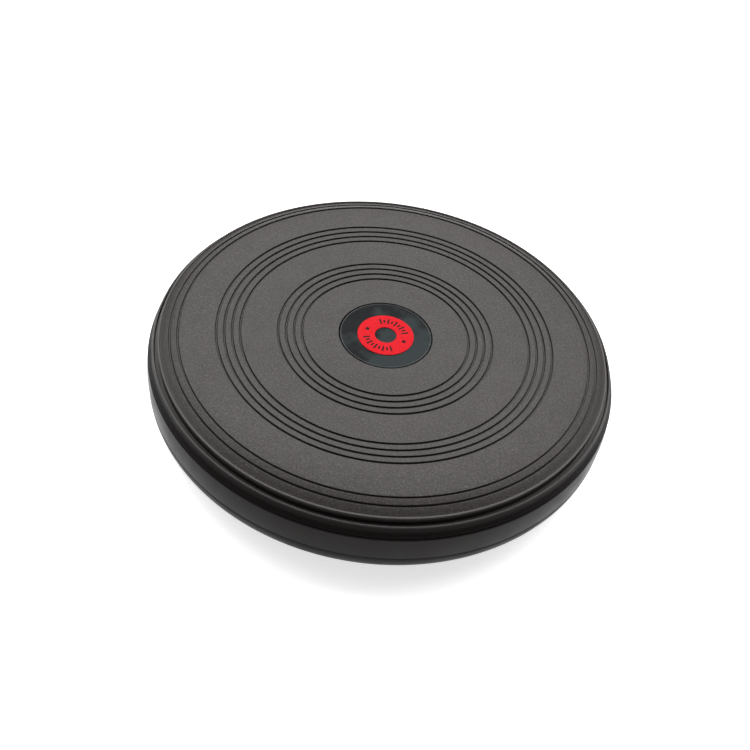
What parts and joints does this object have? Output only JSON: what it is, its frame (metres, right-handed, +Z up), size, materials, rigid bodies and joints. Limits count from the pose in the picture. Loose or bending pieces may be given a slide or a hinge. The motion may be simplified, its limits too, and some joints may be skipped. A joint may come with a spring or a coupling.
{
  "type": "balance board",
  "caption": "Round rocking balance board with a grooved foam cushion, a gel centre disc, a plain side shell and a shallow domed base.",
  "frame": {"origin": "middle of the floor contact, under the centre of the board", "axes": "+Z up through the middle of the standing surface; the board is round, so X and Y are any two level directions"},
  "size_m": [0.4, 0.4, 0.082],
  "materials": {
    "cushion_foam": "matte, fine moulded grain",
    "gel": "glossy",
    "badge_print": "satin print",
    "deck_board": "sanded plywood",
    "shell_plastic": "satin",
    "base_plastic": "satin",
    "floor_rubber": "matte",
    "screw_steel": "zinc plated",
    "insert_brass": "turned"
  },
  "bodies": {
    "root": {"cushion": "cushion_foam", "gel_pad": "gel", "badge_ring": "badge_print", "deck_plate": "deck_board", "lower_shell": "shell_plastic", "rocker_base": "base_plastic", "floor_pad": "floor_rubber", "grip_ring": "floor_rubber", "base_screw_1": "screw_steel", "base_screw_2": "screw_steel", "base_screw_3": "screw_steel", "base_screw_4": "screw_steel", "base_screw_5": "screw_steel", "base_screw_6": "screw_steel", "shell_screw_1": "screw_steel", "shell_screw_2": "screw_steel", "shell_screw_3": "screw_steel", "shell_screw_4": "screw_steel", "shell_screw_5": "screw_steel", "shell_screw_6": "screw_steel", "shell_screw_7": "screw_steel", "shell_screw_8": "screw_steel", "insert_1": "insert_brass", "insert_2": "insert_brass", "insert_3": "insert_brass", "insert_4": "insert_brass", "insert_5": "insert_brass", "insert_6": "insert_brass"}
  },
  "joints": []
}
